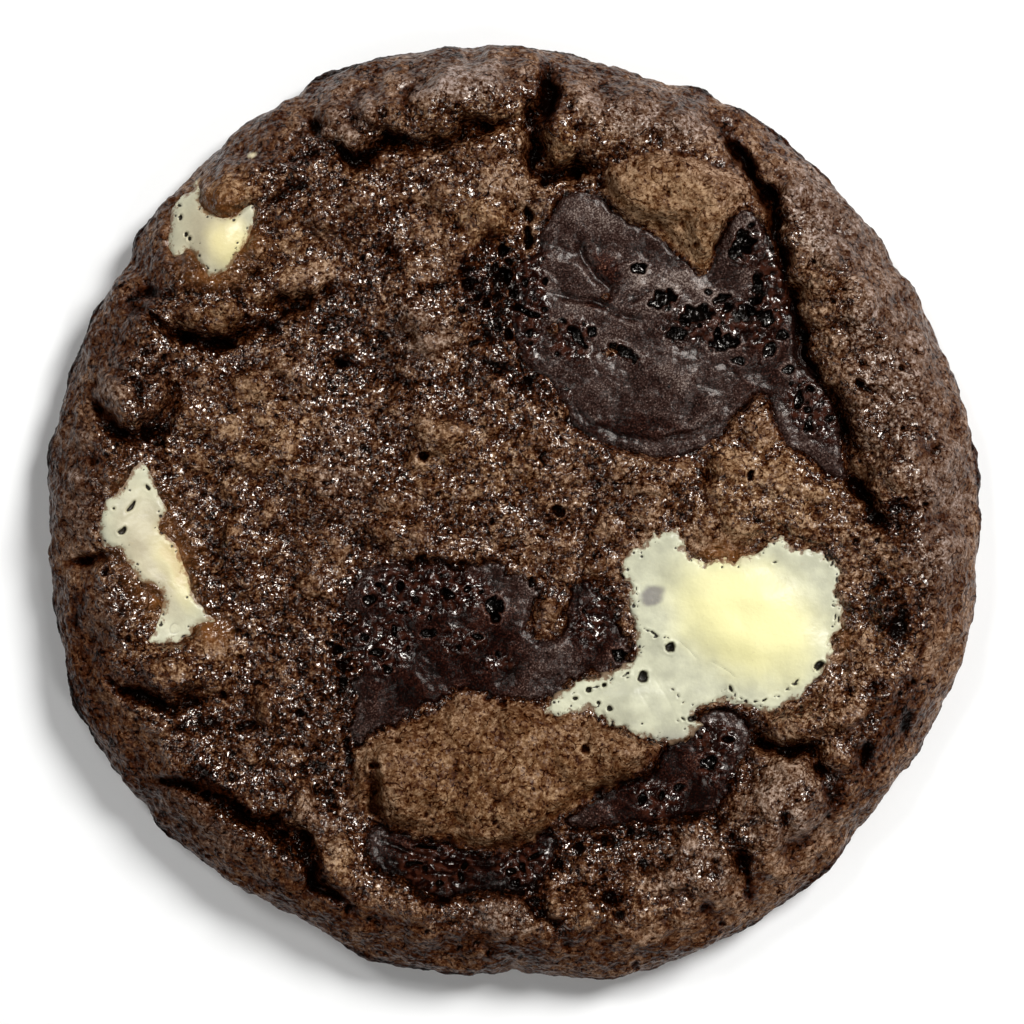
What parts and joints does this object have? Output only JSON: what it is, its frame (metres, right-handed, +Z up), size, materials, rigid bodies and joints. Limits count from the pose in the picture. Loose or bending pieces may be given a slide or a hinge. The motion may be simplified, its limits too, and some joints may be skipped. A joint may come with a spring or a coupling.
{
  "type": "triple chocolate cookie",
  "caption": "Round, flat, soft baked chocolate cookie with a raised cracked rim, melted dark chocolate pieces and white chocolate chunks set in its top, and a flat underside.",
  "frame": {"origin": "middle of the flat underside, under the centre of the round outline", "axes": "+Z up, out of the top; +X to the right and +Y to the back, as the cookie is seen from above with its large dark chocolate piece at the upper right"},
  "size_m": [0.0905, 0.0903, 0.011],
  "materials": {
    "dough": "baked chocolate dough, crumbly and matt with a slight greasy sheen",
    "dark_chocolate": "melted and set dark chocolate, satin with small bubbles",
    "white_chocolate": "melted white chocolate, creamy and satin"
  },
  "bodies": {
    "root": {"dough": "dough", "dark_chunk_large": "dark_chocolate", "dark_chunk_middle": "dark_chocolate", "dark_streak_lower": "dark_chocolate", "dark_streak_right": "dark_chocolate", "white_chunk_right": "white_chocolate", "white_chunk_upper_left": "white_chocolate", "white_chunk_lower_left": "white_chocolate"}
  },
  "joints": []
}
